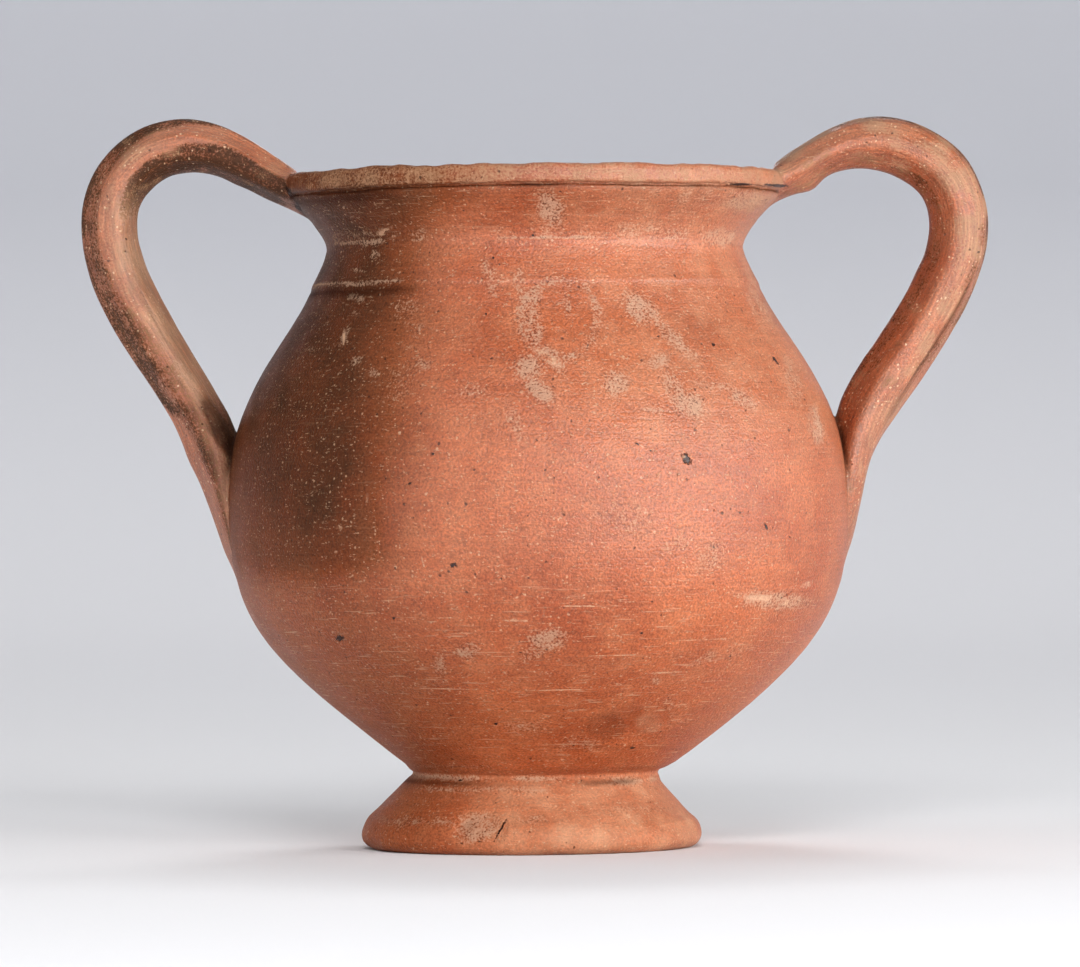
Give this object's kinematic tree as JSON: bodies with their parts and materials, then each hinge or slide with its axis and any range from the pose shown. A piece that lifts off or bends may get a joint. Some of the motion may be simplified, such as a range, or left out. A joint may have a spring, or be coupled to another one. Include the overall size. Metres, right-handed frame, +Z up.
{
  "type": "kantharos",
  "caption": "Plain terracotta drinking cup with a flared lip, round belly, low foot and tall looped handles rising above the rim.",
  "frame": {"origin": "on the standing surface, under the middle of the cup from handle to handle and from front to back", "axes": "+Z up along the cup's axis, +X toward one handle, +Y toward the side turned away from the picture's camera"},
  "size_m": [0.1816, 0.1242, 0.146],
  "materials": {
    "terracotta": "matte"
  },
  "bodies": {
    "root": {"kantharos": "terracotta"}
  },
  "joints": []
}
